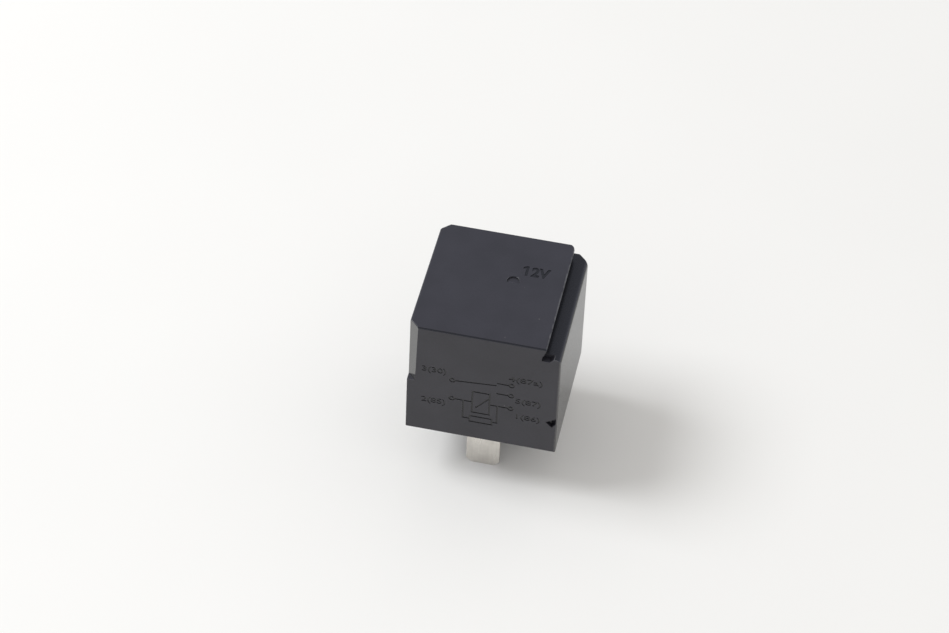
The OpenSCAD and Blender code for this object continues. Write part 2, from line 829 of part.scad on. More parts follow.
module armature() {
    nose = 1.5;
    heel = leaf_r + 0.2;
    w = arm_w / 2;
    color(steel) lifted() difference() {
        intersection() {
            translate([0, 0, hinge_gap]) linear_extrude(arm_t)
                polygon(concat([[w, 0], [-w, 0]],
                               arc([nose - w, nose - arm_l], nose, 180, 270),
                               arc([w - nose, nose - arm_l], nose, 270, 360)));
            // bevelled heel that the leaf passes over
            sideways(-w, w)
                polygon([[-arm_l, 0], [0, 0], [0, arm_top - heel], [-heel, arm_top], [-arm_l, arm_top]]);
        }
        at_arm_rivets() translate([0, 0, -arm_t - over]) cylinder(d = rivet_d, h = arm_t + 2 * over);
    }
}

module contact_spring() {
    w = leaf_w / 2;
    tip = leaf_tip_w / 2;
    shoulder = -arm_l + 1;
    end = reach - tip + 0.2;
    window = leaf_window_w / 2;
    legs = [[-w, -window], [window, w]];
    color(bronze) union() {
        // leg on the back of the yoke
        difference() {
            box([-w, hinge_y + leaf_gap, leaf_low], [w, hinge_y + leaf_gap + leaf_t, leaf_foot[1]]);
            box([-window, hinge_y - over, leaf_foot[1] - leaf_window_drop],
                [window, hinge_y + over, leaf_foot[1] + over]);
            at_yoke_rivets() translate([0, 0, -over])
                cylinder(d = rivet_d + 2 * leaf_gap, h = leaf_t + 2 * over);
        }
        // bend over the hinge edge
        for (leg = legs) translate([leg[0], leaf_foot[0], leaf_foot[1]])
            rotate([90, 0, 90]) linear_extrude(leg[1] - leg[0])
                intersection() {
                    difference() {
                        circle(leaf_r + leaf_t);
                        circle(leaf_r);
                    }
                    polygon([[0, 0], [3 * leaf_r, 0], [3 * leaf_r, 3 * leaf_r],
                             3 * leaf_r * [sin(rest_lift), cos(rest_lift)]]);
                }
        // blade of the leaf on the armature
        lifted() difference() {
            translate([0, 0, arm_top]) linear_extrude(leaf_t)
                polygon(concat([[w, leaf_start], [-w, leaf_start], [-w, shoulder], [-tip, shoulder - 1.5]],
                               arc([0, end + tip], tip, 180, 360, 12),
                               [[tip, shoulder - 1.5], [w, shoulder]]));
            box([-window, leaf_start - leaf_window_y, 0], [window, over, arm_top + over]);
            at_arm_rivets() translate([0, 0, -over]) cylinder(d = rivet_d, h = leaf_t + 2 * over);
            translate([0, reach, 0]) cylinder(d = shank_d, h = arm_top + over);
        }
    }
}

cover();
base();
terminal_30();
terminal_85();
terminal_86();
terminal_87();
terminal_87a();
yoke();
core();
bobbin();
coil_winding();
resistor_body();
resistor_lead_85();
resistor_lead_86();
work_contact();
rest_contact();
yoke_rivets();
armature();
contact_spring();
armature_rivets();
moving_contact();
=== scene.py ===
import logging
import math
from collections.abc import Callable, Sequence
from dataclasses import dataclass, field, replace
from enum import Enum

import bmesh
import bpy
from bmesh.types import BMEdge, BMesh, BMLayerItem, BMVert
from bpy.types import Material, Mesh, Node, NodeOutputs, NodeSocket, NodeTree, Object
from mathutils import Matrix, Vector
from mathutils.geometry import delaunay_2d_cdt
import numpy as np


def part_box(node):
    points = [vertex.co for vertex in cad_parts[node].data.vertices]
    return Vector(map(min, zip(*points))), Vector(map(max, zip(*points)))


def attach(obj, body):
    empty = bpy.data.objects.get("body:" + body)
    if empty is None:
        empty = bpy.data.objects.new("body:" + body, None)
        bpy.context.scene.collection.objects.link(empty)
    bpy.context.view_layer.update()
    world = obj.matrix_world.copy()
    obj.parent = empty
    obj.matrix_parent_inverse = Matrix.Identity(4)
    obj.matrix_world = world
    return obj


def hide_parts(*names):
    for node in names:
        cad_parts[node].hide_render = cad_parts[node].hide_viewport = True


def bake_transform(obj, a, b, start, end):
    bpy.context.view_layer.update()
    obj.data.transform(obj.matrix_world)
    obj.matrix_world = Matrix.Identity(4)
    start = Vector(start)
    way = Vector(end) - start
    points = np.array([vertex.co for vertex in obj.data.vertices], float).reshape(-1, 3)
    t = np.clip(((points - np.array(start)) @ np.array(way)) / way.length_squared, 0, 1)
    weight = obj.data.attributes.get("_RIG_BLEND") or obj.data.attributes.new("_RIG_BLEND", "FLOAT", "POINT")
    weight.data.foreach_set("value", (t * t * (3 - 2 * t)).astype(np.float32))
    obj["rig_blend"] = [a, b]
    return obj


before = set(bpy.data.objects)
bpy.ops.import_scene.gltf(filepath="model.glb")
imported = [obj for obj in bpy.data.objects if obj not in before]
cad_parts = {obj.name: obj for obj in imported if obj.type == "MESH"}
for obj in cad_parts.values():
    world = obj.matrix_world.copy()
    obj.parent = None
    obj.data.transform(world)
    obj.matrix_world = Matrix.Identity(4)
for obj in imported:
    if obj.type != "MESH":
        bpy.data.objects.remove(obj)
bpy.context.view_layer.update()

log = logging.getLogger("relay")

Colour = tuple[float, float, float]
Feed = NodeSocket | float | tuple
Place = tuple[float, float]
Span = tuple[float, float]

MM = 0.001
QUARTER_TURN = math.pi / 2
FORWARD = Vector((0, -1, 0))
BACKWARD = Vector((0, 1, 0))
UPWARD = Vector((0, 0, 1))
DOWNWARD = Vector((0, 0, -1))

# distance under which two vertices are one, in metres
MERGE_GAP = 1e-6
# turn under which two neighbours are one flat face, in radians
FLAT_TURN = 0.006
# least cosine between a face and the way that it is said to look
FACING = 0.95
# face layer that marks rubbed edges and the case plate's edge that gets a painted highlight, and the span of
# the mottle's tone
EDGE_LAYER = "edge"
TONES = (-1.0, 1.0)


class Body(Enum):
    """The two bodies that the one hinge joins."""

    HOUSING = "housing"
    ARMATURE = "armature"


class Slot(Enum):
    """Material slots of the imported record."""

    CASE = "case_moulding"
    BASE = "base_moulding"
    TIN = "tinned_sheet"
    STEEL = "magnet_steel"
    BOBBIN = "bobbin_moulding"
    COPPER = "copper_wire"
    LACQUER = "resistor_lacquer"
    LEAD = "tinned_wire"
    SILVER = "contact_alloy"
    BRONZE = "leaf_bronze"


class Run(Enum):
    """Direction in which a sheet was rolled or a face was drawn out of its tool."""

    ACROSS = (1.0, 0.05, 1.0)
    ALONG = (0.05, 1.0, 1.0)
    UP = (1.0, 1.0, 0.05)


# ---- shader graphs ----


class Graph:
    """A node tree that is written down in the order in which it works."""

    def __init__(self, tree: NodeTree) -> None:
        """Starts on an empty tree.

        Args:
            tree: the material's, group's or world's own tree.
        """
        self.tree = tree
        tree.nodes.clear()

    def node(self, kind: str, feeds: dict[str | int, Feed] | None = None, **settings: object) -> Node:
        """Adds a node.

        Args:
            kind: Blender's name of the node type, without ShaderNode.
            feeds: what goes into its inputs, by name or number.
            settings: the node's own properties.

        Returns:
            The new node.
        """
        family = "NodeGroup" if kind in ("Input", "Output") else "ShaderNode"
        made = self.tree.nodes.new(family + kind)
        for name, value in settings.items():
            setattr(made, name, value)
        for key, value in (feeds or {}).items():
            self.feed(made.inputs[key], value)
        return made

    def feed(self, target: NodeSocket, value: Feed) -> None:
        """Links a socket to an input, or writes a plain value into it.

        Args:
            target: the input.
            value: the socket or value that it takes.
        """
        if isinstance(value, NodeSocket):
            self.tree.links.new(value, target)
        else:
            target.default_value = value

    def math(self, operation: str, a: Feed, b: Feed = 0.0, clamp: bool = False) -> NodeSocket:
        """Returns a sum, product or other plain operation on two values."""
        return self.node("Math", {0: a, 1: b}, operation=operation, use_clamp=clamp).outputs[0]

    def times(self, a: Feed, b: Feed, clamp: bool = False) -> NodeSocket:
        """Returns the product of two values."""
        return self.math("MULTIPLY", a, b, clamp)

    def per(self, size: Feed, number: float = 1.0) -> NodeSocket:
        """Returns a number over a size, which is the scale of a pattern of that size."""
        return self.math("DIVIDE", number, size)

    def blend(self, factor: Feed, a: Feed, b: Feed) -> NodeSocket:
        """Mixes two colours.

        Args:
            factor: how far the mix lies from a to b.
            a: the colour at 0.
            b: the colour at 1.

        Returns:
            The mixed colour.
        """
        made = self.node("Mix", data_type="RGBA")
        ends = [socket for socket in made.inputs if socket.type == "RGBA"]
        self.feed(made.inputs[0], factor)
        self.feed(ends[0], rgba(a))
        self.feed(ends[1], rgba(b))
        return next(socket for socket in made.outputs if socket.type == "RGBA")

    def between(self, value: Feed, span: Span, onto: Span = (0.0, 1.0)) -> NodeSocket:
        """Maps a value from one span onto another, held at its ends."""
        return self.node("MapRange", dict(enumerate((value, *span, *onto))), clamp=True).outputs[0]

    def noise(self, place: Feed, scale: Feed, detail: float = 3.0) -> NodeSocket:
        """Returns a noise between 0 and 1 at a place."""
        return self.node("TexNoise", {"Vector": place, "Scale": scale, "Detail": detail}).outputs[0]


def rgba(colour: Feed) -> Feed:
    """Gives a plain colour its alpha, and leaves a socket as it is."""
    return (*colour, 1.0) if isinstance(colour, tuple) else colour


def shade(colour: Colour, factor: float) -> Colour:
    """Returns a lighter or darker tone of a colour."""
    return tuple(part * factor for part in colour)


def within(value: float, span: Span) -> bool:
    """Tells whether a value lies inside a span."""
    return span[0] < value < span[1]


class Effect(Enum):
    """Surface effects that several finishes share, each one shader node group."""

    GRAIN = "spark_eroded_grain"
    ROLLED = "rolled_streaks"
    RUB = "edge_rub"
    MOTTLE = "mottle"
    DUST = "dust_specks"

    def group(self) -> NodeTree:
        """Returns the effect's node group, built the first time it is asked for."""
        return bpy.data.node_groups.get(self.value) or Group(self).tree


class Group(Graph):
    """The graph of an effect's shader node group, which takes a place and the size of a pattern."""

    def __init__(self, effect: Effect) -> None:
        """Builds the group.

        Args:
            effect: the effect.
        """
        super().__init__(bpy.data.node_groups.new(effect.value, "ShaderNodeTree"))
        build, gives, more = EFFECT_PLANS[effect]
        inputs = {"Place": "Vector", "Size": "Float", **more}
        for direction, sockets in (("INPUT", inputs), ("OUTPUT", dict.fromkeys(gives, "Float"))):
            for label, kind in sockets.items():
                self.tree.interface.new_socket(label, in_out=direction, socket_type="NodeSocket" + kind)
        self.taken = self.node("Input").outputs
        self.given = self.node("Output").inputs
        build(self)

    def cells(self, scale: NodeSocket, feature: str) -> NodeOutputs:
        """Returns what a cell texture gives at the group's place."""
        feeds = {"Vector": self.taken["Place"], "Scale": scale}
        return self.node("TexVoronoi", feeds, feature=feature).outputs

    def give(self, name: str, value: NodeSocket) -> None:
        """Feeds one of the group's outputs."""
        self.feed(self.given[name], value)


def build_grain(group: Group) -> None:
    """Builds the fine pits that spark erosion leaves in a tool and the moulding copies.

    Args:
        group: gives the pits and the height of the whole grain.
    """
    pit_span = (0.1, 0.75)
    noise_share, pit_share, detail = 0.6, 0.4, 4.0
    scale = group.per(group.taken["Size"])
    fine = group.noise(group.taken["Place"], scale, detail)
    cells = group.cells(scale, "SMOOTH_F1")
    pits = group.between(cells["Distance"], pit_span)
    group.give("Height", group.math("ADD", group.times(fine, noise_share), group.times(pits, pit_share)))
    group.give("Pits", pits)


def build_rolled(group: Group) -> None:
    """Builds the long streaks that rolling leaves in sheet metal.

    Args:
        group: gives the streaks' height and where they gather, and takes the run of the sheet.
    """
    breadth, gathered = 0.2, (0.35, 0.65)
    fine_detail, broad_detail = 5.0, 2.0
    drawn = group.node("VectorMath", {0: group.taken["Place"], 1: group.taken["Run"]}, operation="MULTIPLY")
    scale = group.per(group.taken["Size"])
    streak = group.noise(drawn.outputs[0], scale, fine_detail)
    broad = group.noise(drawn.outputs[0], group.times(scale, breadth), broad_detail)
    group.give("Height", streak)
    group.give("Streak", group.times(streak, group.between(broad, gathered), clamp=True))


def build_rub(group: Group) -> None:
    """Builds the broken line of rubbed material along the edges that a piece marks as its own, which on the
    case plate's right edge is a painted highlight.

    Args:
        group: gives the rubbed places.
    """
    broken_span = (0.4, 0.62)
    edge = group.node("Attribute", attribute_name=EDGE_LAYER).outputs["Fac"]
    broken = group.between(group.noise(group.taken["Place"], group.per(group.taken["Size"])), broken_span)
    group.give("Mask", group.times(edge, broken, clamp=True))


def build_mottle(group: Group) -> None:
    """Builds the slow change of tone over a surface.

    Args:
        group: gives a tone from -1 to 1.
    """
    mid_span, detail = (0.3, 0.7), 2.0
    cloud = group.noise(group.taken["Place"], group.per(group.taken["Size"]), detail)
    group.give("Tone", group.between(cloud, mid_span, TONES))


def build_dust(group: Group) -> None:
    """Builds sparse pale specks, one to a few cells of a coarse lattice.

    Args:
        group: gives the specks, and takes the share of the cells that hold one.
    """
    speck_share, rim = 0.12, (0.05, 0.09)
    cells = group.cells(group.per(group.taken["Size"], speck_share), "F1")
    speck = group.between(cells["Distance"], rim, (1.0, 0.0))
    chance = group.node("SeparateXYZ", {0: cells["Color"]}).outputs[0]
    picked = group.math("LESS_THAN", chance, group.taken["Share"])
    group.give("Mask", group.times(speck, picked, clamp=True))


# how each effect is built, what it gives and what it takes besides a place and a size
EFFECT_PLANS = {
    Effect.GRAIN: (build_grain, ("Height", "Pits"), {}),
    Effect.ROLLED: (build_rolled, ("Height", "Streak"), {"Run": "Vector"}),
    Effect.RUB: (build_rub, ("Mask",), {}),
    Effect.MOTTLE: (build_mottle, ("Tone",), {}),
    Effect.DUST: (build_dust, ("Mask",), {"Share": "Float"}),
}


# ---- finishes ----


class Surface(Graph):
    """The graph of a new material, with its shader and the point on the piece that it covers."""

    def __init__(self, name: str, shader: str = "BsdfPrincipled") -> None:
        """Starts the material.

        Args:
            name: the material's name.
            shader: Blender's name of its shader, without ShaderNode.
        """
        self.material = bpy.data.materials.new(name)
        self.material.use_nodes = True
        super().__init__(self.material.node_tree)
        self.shader = self.node(shader)
        self.node("OutputMaterial", {"Surface": self.shader.outputs[0]})
        self.place = self.node("TexCoord").outputs["Object"]

    def give(self, name: str, value: Feed) -> None:
        """Feeds an input of the shader."""
        self.feed(self.shader.inputs[name], value)

    def effect(self, effect: Effect, size: float, **more: Feed) -> NodeOutputs:
        """Places an effect with its own values.

        Args:
            effect: the effect.
            size: the size of its pattern, in metres.
            more: its further inputs, by name.

        Returns:
            What the effect gives, by name.
        """
        feeds = {"Place": self.place, "Size": size, **more}
        return self.node("Group", feeds, node_tree=effect.group()).outputs

    def bump(self, height: NodeSocket, depth: float) -> None:
        """Lets a height shape the shader's normal, over a depth in metres."""
        made = self.node("Bump", {"Height": height, "Strength": 1.0, "Distance": depth})
        self.give("Normal", made.outputs[0])


@dataclass(frozen=True)
class Finish:
    """What every finish has: a name and its plain colour and gloss."""

    name: str
    colour: Colour
    roughness: float

    def material(self) -> Material:
        """Makes the finish's material the first time it is asked for.

        Returns:
            The material.
        """
        known = bpy.data.materials.get(self.name)
        if known:
            return known
        surface = Surface(self.name)
        self.dress(surface)
        return surface.material

    def dress(self, surface: Surface) -> None:
        """Feeds the shader of a surface."""
        raise NotImplementedError

    def gloss(self, surface: Surface, value: NodeSocket, span: Span, spread: Span) -> NodeSocket:
        """Returns a roughness that moves by a spread as a value crosses a span."""
        return surface.between(value, span, (self.roughness + spread[0], self.roughness + spread[1]))


@dataclass(frozen=True)
class Moulding(Finish):
    """Glass-filled plastic with the grain of its tool, slight mottle, rubbed edges and specks of dust."""

    grain_size: float = 0.16 * MM
    grain_depth: float = 0.006 * MM
    grain_shade: float = 0.25
    grain_gloss: Span = (-0.04, 0.05)
    mottle: float = 0.1
    mottle_size: float = 6 * MM
    rub: float = 0.5
    rub_size: float = 1.2 * MM
    # rubbed edges turn lighter; on the case plate's right edge this lightening is a painted highlight line
    rub_colour: Colour = (0.16, 0.16, 0.17)
    rub_gloss: float = 0.12
    dust: float = 0.03
    dust_size: float = 0.1 * MM
    dust_cover: float = 0.5
    dust_colour: Colour = (0.45, 0.44, 0.42)
    dust_gloss: float = 0.3
    ior: float = 1.5

    def dress(self, surface: Surface) -> None:
        """Feeds the shader with grain, mottle, rub and dust.

        Args:
            surface: the surface.
        """
        grain = surface.effect(Effect.GRAIN, self.grain_size)
        tone = surface.effect(Effect.MOTTLE, self.mottle_size)["Tone"]
        rub = surface.effect(Effect.RUB, self.rub_size)["Mask"]
        dust = surface.effect(Effect.DUST, self.dust_size, Share=self.dust)["Mask"]
        low, high = shade(self.colour, 1 - self.mottle), shade(self.colour, 1 + self.mottle)
        base = surface.blend(surface.between(tone, TONES), low, high)
        pitted = surface.blend(surface.times(grain["Pits"], self.grain_shade), base, low)
        rubbed = surface.blend(surface.times(rub, self.rub), pitted, self.rub_colour)
        dusty = surface.blend(surface.times(dust, self.dust_cover), rubbed, self.dust_colour)
        surface.give("Base Color", dusty)
        gloss = self.gloss(surface, grain["Pits"], (0.0, 1.0), self.grain_gloss)
        smoothed = surface.math("SUBTRACT", gloss, surface.times(rub, self.rub_gloss))
        dulled = surface.math("ADD", smoothed, surface.times(dust, self.dust_gloss), clamp=True)
        surface.give("Roughness", dulled)
        surface.give("IOR", self.ior)
        surface.bump(grain["Height"], self.grain_depth)


@dataclass(frozen=True)
class Sheet(Finish):
    """Plated or bare metal sheet with rolling streaks, dull patches and rubbed edges."""

    run: Run = Run.UP
    streak_size: float = 0.09 * MM
    streak_depth: float = 0.0016 * MM
    streak_cover: float = 0.22
    dull: Colour = (0.5, 0.48, 0.45)
    dull_tones: Span = (-0.6, 1.0)
    dull_cover: Span = (0.05, 0.34)
    dull_span: Span = (0.0, 0.8)
    dull_gloss: Span = (-0.05, 0.14)
    patch_size: float = 2.2 * MM
    edge_colour: Colour = (0.8, 0.78, 0.74)
    edge_size: float = 0.5 * MM
    edge_cover: float = 0.6

    def dress(self, surface: Surface) -> None:
        """Feeds the shader with streaks, dull patches and rubbed edges.

        Args:
            surface: the surface.
        """
        rolled = surface.effect(Effect.ROLLED, self.streak_size, Run=self.run.value)
        tone = surface.effect(Effect.MOTTLE, self.patch_size)["Tone"]
        rub = surface.effect(Effect.RUB, self.edge_size)["Mask"]
        patch = surface.between(tone, self.dull_tones, self.dull_cover)
        worn = surface.math("ADD", patch, surface.times(rolled["Streak"], self.streak_cover), clamp=True)
        plated = surface.blend(worn, self.colour, self.dull)
        rubbed = surface.blend(surface.times(rub, self.edge_cover), plated, self.edge_colour)
        surface.give("Base Color", rubbed)
        surface.give("Roughness", self.gloss(surface, worn, self.dull_span, self.dull_gloss))
        surface.give("Metallic", 1.0)
        surface.bump(rolled["Height"], self.streak_depth)


@dataclass(frozen=True)
class Enamel(Finish):
    """A coloured clear coat over metal or ceramic, with colour bands where it has them."""

    metallic: float = 0.0
    low_tone: float = 0.82
    mottle_size: float = 0.8 * MM
    mottle_gloss: Span = (-0.04, 0.06)
    ripple_size: float = 0.3 * MM
    ripple_depth: float = 0.004 * MM
    coat: float = 0.6
    coat_roughness: float = 0.12
    bands: tuple[tuple[float, Colour], ...] = ()
    band_width: float = 0.5 * MM
    band_core: float = 0.9
    centre: float = 0.0

    def dress(self, surface: Surface) -> None:
        """Feeds the shader with mottle, bands and the coat's slight ripple.

        Args:
            surface: the surface.
        """
        mottle = surface.effect(Effect.MOTTLE, self.mottle_size)["Tone"]
        low = shade(self.colour, self.low_tone)
        tone = surface.blend(surface.between(mottle, TONES), low, self.colour)
        along = surface.node("SeparateXYZ", {0: surface.place}).outputs[0]
        half = self.band_width / 2
        for offset, colour in self.bands:
            away = surface.math("ABSOLUTE", surface.math("SUBTRACT", along, self.centre + offset))
            band = surface.between(away, (self.band_core * half, half), (1.0, 0.0))
            tone = surface.blend(band, tone, colour)
        surface.give("Base Color", tone)
        surface.give("Roughness", self.gloss(surface, mottle, TONES, self.mottle_gloss))
        surface.give("Metallic", self.metallic)
        surface.give("Coat Weight", self.coat)
        surface.give("Coat Roughness", self.coat_roughness)
        surface.bump(surface.effect(Effect.GRAIN, self.ripple_size)["Height"], self.ripple_depth)


TEXTURED = Moulding(
    "case_textured", (0.0245, 0.0237, 0.031), 0.46, grain_size=0.2 * MM, grain_depth=0.011 * MM, mottle=0.13
)
DRAWN = Moulding("case_drawn", (0.024, 0.0237, 0.028), 0.27, grain_depth=0.003 * MM, rub=0.3, ior=1.6)
# smoother black, far darker than the case's own black: painted shade on the rail channel and in the engraved
# marks, and a painted dark line on the plate's front lip
POLISHED_SHADE = Moulding(
    "case_polished_shade", (0.007, 0.0072, 0.0095), 0.24, grain_depth=0.001 * MM, mottle=0.05, rub=0.15, dust=0.02
)
# glossier black for the corner bevels, a little lighter than the case's own black, which paints part of their
# highlight
BEVELLED_LIT = Moulding("case_bevelled_lit", (0.03, 0.03, 0.031), 0.2, grain_depth=0.002 * MM, rub=0.3, ior=2.0)
BASE_BLACK = Moulding("base_black", (0.045, 0.045, 0.047), 0.42, grain_size=0.22 * MM, rub=0.3)
NYLON = Moulding(
    "former_nylon", (0.6, 0.56, 0.44), 0.42, grain_size=0.25 * MM, rub_colour=(0.7, 0.67, 0.56), dust=0.0
)
TIN = Sheet("tin_plate", (0.78, 0.75, 0.7), 0.3)
ZINC = Sheet(
    "zinc_plated_steel", (0.52, 0.53, 0.55), 0.32, dull=(0.36, 0.37, 0.38), edge_colour=(0.62, 0.62, 0.62)
)
POLE = Sheet(
    "ground_pole", (0.56, 0.55, 0.53), 0.24, run=Run.ACROSS, streak_size=0.05 * MM, dull=(0.4, 0.4, 0.4)
)
BRONZE = Sheet("rolled_bronze", (0.72, 0.47, 0.26), 0.26, run=Run.ALONG, dull=(0.5, 0.33, 0.2))
SILVER = Sheet("contact_silver", (0.86, 0.85, 0.82), 0.2, streak_size=0.2 * MM, dull=(0.6, 0.58, 0.52))
TINNED_WIRE = Sheet("lead_wire", (0.7, 0.69, 0.66), 0.26, run=Run.ACROSS, streak_size=0.05 * MM)
COPPER = Enamel("enamelled_copper", (0.5, 0.16, 0.05), 0.28, metallic=0.9)
LACQUER = Enamel("pale_lacquer", (0.09, 0.25, 0.33), 0.32)


# ---- pieces ----


@dataclass
class Workpiece:
    """A mesh on the bench, shaped with bmesh operators until it is handed over as a piece."""

    name: str
    stands_for: str
    finishes: Sequence[Finish]
    bm: BMesh = field(default_factory=bmesh.new)

    @classmethod
    def copy_of(cls, node: str, name: str, *finishes: Finish) -> "Workpiece":
        """Takes a merged copy of a CAD node, its flat faces made whole.

        Args:
            node: the node's name.
            name: the new piece's own name.
            finishes: the finishes that its faces may have, the usual one first.

        Returns:
            The workpiece.
        """
        piece = cls(name, node, finishes)
        bm = piece.bm
        bm.from_mesh(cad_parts[node].data)
        bmesh.ops.remove_doubles(bm, verts=bm.verts, dist=MERGE_GAP)
        bmesh.ops.dissolve_limit(bm, angle_limit=FLAT_TURN, verts=bm.verts, edges=bm.edges)
        return piece

    def soften(self, width: float, least: float = 40.0, room: float = 1.3, segments: int = 2) -> None:
        """Rounds the outer edges that have room for it and marks the new faces as rubbed edges.

        Args:
            width: how far the rounding reaches, in metres.
            least: smallest turn of an edge that is rounded, in degrees.
            room: length that the edges about it need, in widths.
            segments: faces across it.
        """
        layer = self.edge_layer()
        edges = [edge for edge in self.bm.edges if turn_of(edge) > least and room_at(edge) > room * width]
        made = bmesh.ops.bevel(
            self.bm, geom=edges, offset=width, offset_type="OFFSET", affect="EDGES", segments=segments,
            profile=0.5, material=-1, clamp_overlap=False, loop_slide=True,
        )
        for face in made["faces"]:
            face[layer] = 1.0

    def edge_layer(self) -> BMLayerItem:
        """Returns the face layer that marks rubbed edges, and the case plate's edge where a highlight is
        painted.
        """
        layers = self.bm.faces.layers.float
        return layers.get(EDGE_LAYER) or layers.new(EDGE_LAYER)

    def paint(self, finish: Finish, chosen: Callable[[Vector, Vector], bool]) -> None:
        """Gives a finish to some faces.

        Args:
            finish: one of the piece's finishes.
            chosen: a test of a face's middle and normal.
        """
        number = self.finishes.index(finish)
        for face in self.bm.faces:
            if chosen(face.calc_center_median(), face.normal):
                face.material_index = number

    def seat(self, outward: Vector, upward: Vector, through: Vector) -> Matrix:
        """Finds the largest flat face that looks one way and gives its frame.

        Args:
            outward: the way that the face looks, or nearly.
            upward: the way that Y goes along the face, or nearly.
            through: a point that the frame's Z axis passes through.

        Returns:
            A frame with its origin on the face and Z out of it.
        """
        facing = [face for face in self.bm.faces if face.normal.dot(outward) > FACING]
        face = max(facing, key=lambda candidate: candidate.calc_area())
        z = face.normal.copy()
        x = upward.cross(z).normalized()
        origin = through - z * (through - face.verts[0].co).dot(z)
        return Matrix.Translation(origin) @ Matrix((x, z.cross(x), z)).transposed().to_4x4()

    def hand_over(self, body: Body | None, slot: Slot, sharp: float = 32.0) -> Object:
        """Makes the finished piece and seats it on its body.

        Args:
            body: the body that it moves with, or None where it will bend between the two.
            slot: the record's slot of its finish; not used.
            sharp: turn of an edge, in degrees, past which it stays crisp.

        Returns:
            The new object.
        """
        self.edge_layer()
        for face in self.bm.faces:
            face.smooth = True
        for edge in self.bm.edges:
            edge.smooth = abs(turn_of(edge)) < sharp
        piece = placed(self.name, finished_mesh(self.name, self.bm, self.finishes))
        self.bm.free()
        piece.modifiers.new("weighted", "WEIGHTED_NORMAL").keep_sharp = True
        if body:
            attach(piece, body.value)
        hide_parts(self.stands_for)
        seat = body.value if body else "both bodies"
        log.info("%s: %d faces on %s", piece.name, len(piece.data.polygons), seat)
        return piece


def turn_of(edge: BMEdge) -> float:
    """Returns how far the surface turns at an edge, in degrees, below zero at an inner edge."""
    return math.degrees(edge.calc_face_angle_signed(0.0))


def room_at(edge: BMEdge) -> float:
    """Returns the length of the shortest edge that an edge meets or is."""
    return min(near.calc_length() for vert in edge.verts for near in vert.link_edges)


def span_of(node: str) -> tuple[Vector, Vector]:
    """Returns the lowest and highest corners of a CAD node's box."""
    low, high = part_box(node)
    return Vector(low), Vector(high)


def around(items: list) -> list[tuple]:
    """Returns each item with the next, and the last with the first."""
    return list(zip(items, items[1:] + items[:1]))


def placed(name: str, data: bpy.types.ID) -> Object:
    """Puts a mesh, curve, camera or lamp in the scene.

    Args:
        name: the new object's name.
        data: what it holds.

    Returns:
        The new object, at the origin.
    """
    made = bpy.data.objects.new(name, data)
    bpy.context.scene.collection.objects.link(made)
    return made


def finished_mesh(name: str, bm: BMesh, finishes: Sequence[Finish]) -> Mesh:
    """Copies the state of a bmesh.

    Args:
        name: the new mesh's name.
        bm: the bmesh, which is kept.
        finishes: one for each material number in use.

    Returns:
        Plain mesh data with its materials.
    """
    data = bpy.data.meshes.new(name)
    bm.to_mesh(data)
    for finish in finishes:
        data.materials.append(finish.material())
    return data


def made_mesh(holder: Object) -> Mesh:
    """Takes an object off the scene.

    Args:
        holder: the object.

    Returns:
        Its shape, with all that its modifiers or outlines made of it, as plain mesh data.
    """
    data = bpy.data.meshes.new_from_object(holder.evaluated_get(bpy.context.evaluated_depsgraph_get()))
    bpy.data.objects.remove(holder)
    return data


# ---- marks ----


class Relief(Enum):
    """How marks stand against the face that they are on."""

    ENGRAVED = "DIFFERENCE"
    RAISED = "UNION"


